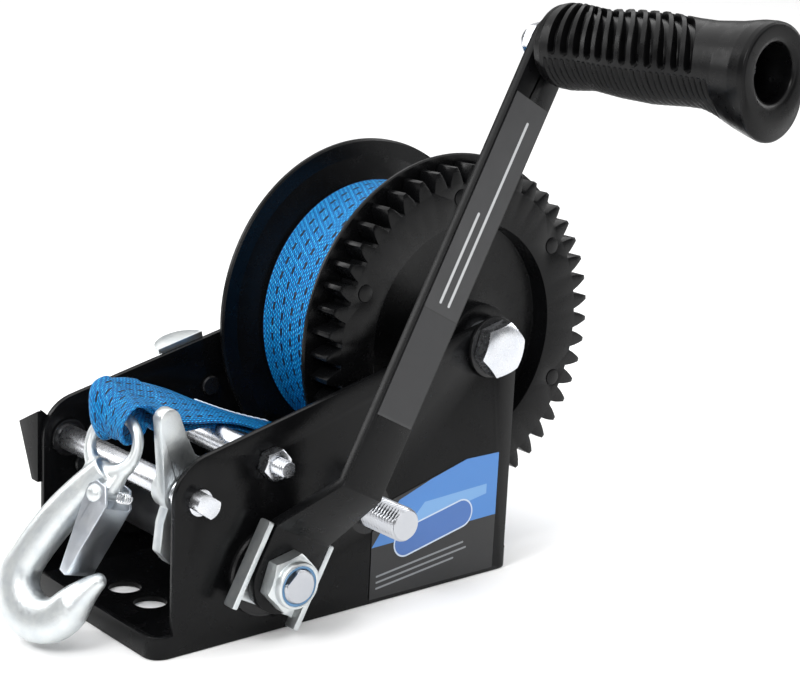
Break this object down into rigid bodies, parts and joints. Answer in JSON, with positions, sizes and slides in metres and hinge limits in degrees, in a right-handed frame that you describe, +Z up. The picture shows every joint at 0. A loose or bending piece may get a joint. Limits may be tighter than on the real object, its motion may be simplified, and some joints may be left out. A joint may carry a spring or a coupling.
{
  "type": "boat trailer winch",
  "caption": "Hand winch for a boat trailer: pressed frame, geared strap drum, two drive shafts, ratchet pawl, cranked handle with moulded grip, webbing strap and eye hook.",
  "frame": {"origin": "centre of the mounting face's width, straight below the drum axle, on the underside of the base", "axes": "+Z up, strap pulls towards -X, crank on the -Y side"},
  "size_m": [0.3205, 0.2907, 0.2843],
  "materials": {
    "black_powder_coat": "satin powder coat",
    "black_arm_paint": "satin paint",
    "black_drum_paint": "semi-gloss paint",
    "zinc_fastener": "bright zinc plate",
    "zinc_casting": "zinc-plated forging with soft edges",
    "zinc_sheet": "zinc-plated sheet",
    "black_oxide": "black oxide",
    "machined_steel": "machined and oiled",
    "spring_wire": "drawn wire",
    "blue_webbing": "woven polyester webbing with dark warp dashes",
    "black_grip": "moulded, fine grain",
    "blue_nylon": "moulded nylon",
    "side_label_print": "printed label, plain shapes only",
    "grey_label": "printed label, plain"
  },
  "bodies": {
    "frame": {"winch_frame": "black_powder_coat", "axle_bolt": "zinc_fastener", "axle_washers": "black_oxide", "axle_nut": "zinc_fastener", "axle_sleeve": "machined_steel", "tie_bolt": "zinc_fastener", "tie_bolt_nut": "zinc_fastener", "tie_spacer": "zinc_fastener", "pawl_pin": "zinc_fastener", "pawl_pin_clips": "black_oxide", "pawl_spring": "spring_wire", "input_bush_near": "black_oxide", "input_bush_far": "black_oxide", "counter_bushes": "black_oxide", "lock_rivets": "black_oxide", "side_label": "side_label_print", "strap_lead": "blue_webbing"},
    "drum": {"drum_core": "black_drum_paint", "far_flange": "black_drum_paint", "near_flange": "black_drum_paint", "drum_gear": "black_drum_paint", "drum_rivets": "black_drum_paint", "strap_roll": "blue_webbing"},
    "second_shaft": {"counter_shaft": "machined_steel", "counter_pinion": "machined_steel", "counter_gear": "machined_steel", "counter_spacer": "machined_steel"},
    "crank": {"input_shaft": "machined_steel", "input_pinion": "machined_steel", "ratchet_wheel": "machined_steel", "input_spacer": "machined_steel", "crank_yoke": "zinc_casting", "crank_arm": "black_arm_paint", "crank_nut": "zinc_fastener", "nut_insert": "blue_nylon", "arm_label": "grey_label", "grip_bolt": "zinc_fastener", "grip_nut": "zinc_fastener", "grip_washer": "zinc_fastener"},
    "grip": {"crank_grip": "black_grip"},
    "pawl": {"pawl": "zinc_casting"},
    "front_lock": {"front_lock_lever": "black_powder_coat"},
    "rear_lock": {"rear_lock_lever": "zinc_casting"},
    "hook": {"hook": "zinc_casting", "latch_rivet": "zinc_fastener", "latch_spring": "spring_wire"},
    "latch": {"hook_latch": "zinc_sheet"}
  },
  "joints": [
    {"name": "drum_spin", "type": "hinge", "parent": "frame", "child": "drum", "pos_m": [0, 0, 0.1165], "axis": [0, -1, 0], "continuous": true},
    {"name": "second_shaft_spin", "type": "hinge", "parent": "frame", "child": "second_shaft", "pos_m": [-0.07201, 0, 0.04769], "axis": [0, -1, 0], "continuous": true},
    {"name": "crank_spin", "type": "hinge", "parent": "frame", "child": "crank", "pos_m": [-0.12984, 0, 0.03001], "axis": [0, -1, 0], "continuous": true},
    {"name": "grip_spin", "type": "hinge", "parent": "crank", "child": "grip", "pos_m": [-0.00713, -0.15, 0.26375], "axis": [0, -1, 0], "continuous": true},
    {"name": "pawl_flip", "type": "hinge", "parent": "frame", "child": "pawl", "pos_m": [-0.1665, -0.0385, 0.0685], "axis": [0, -1, 0], "range_deg": [-20, 37]},
    {"name": "front_lock_swing", "type": "hinge", "parent": "frame", "child": "front_lock", "pos_m": [-0.158, 0.058, 0.0545], "axis": [0, 1, 0], "range_deg": [0, 22], "stiffness_Nm_per_rad": 0.05},
    {"name": "rear_lock_swing", "type": "hinge", "parent": "frame", "child": "rear_lock", "pos_m": [-0.086, 0.058, 0.0825], "axis": [0, -1, 0], "range_deg": [0, 22], "stiffness_Nm_per_rad": 0.05},
    {"name": "hook_swing", "type": "hinge", "parent": "frame", "child": "hook", "pos_m": [-0.188, -0.0223, 0.0909], "axis": [0.883, 0.3214, -0.342], "range_deg": [0, 60]},
    {"name": "latch_open", "type": "hinge", "parent": "hook", "child": "latch", "pos_m": [-0.1947, -0.0274, 0.06882], "axis": [0.883, 0.3214, -0.342], "range_deg": [0, 25], "stiffness_Nm_per_rad": 0.02}
  ],
  "couplings": [
    {"joint": "second_shaft_spin", "follows": "drum_spin", "ratio": -4},
    {"joint": "crank_spin", "follows": "drum_spin", "ratio": 8}
  ]
}
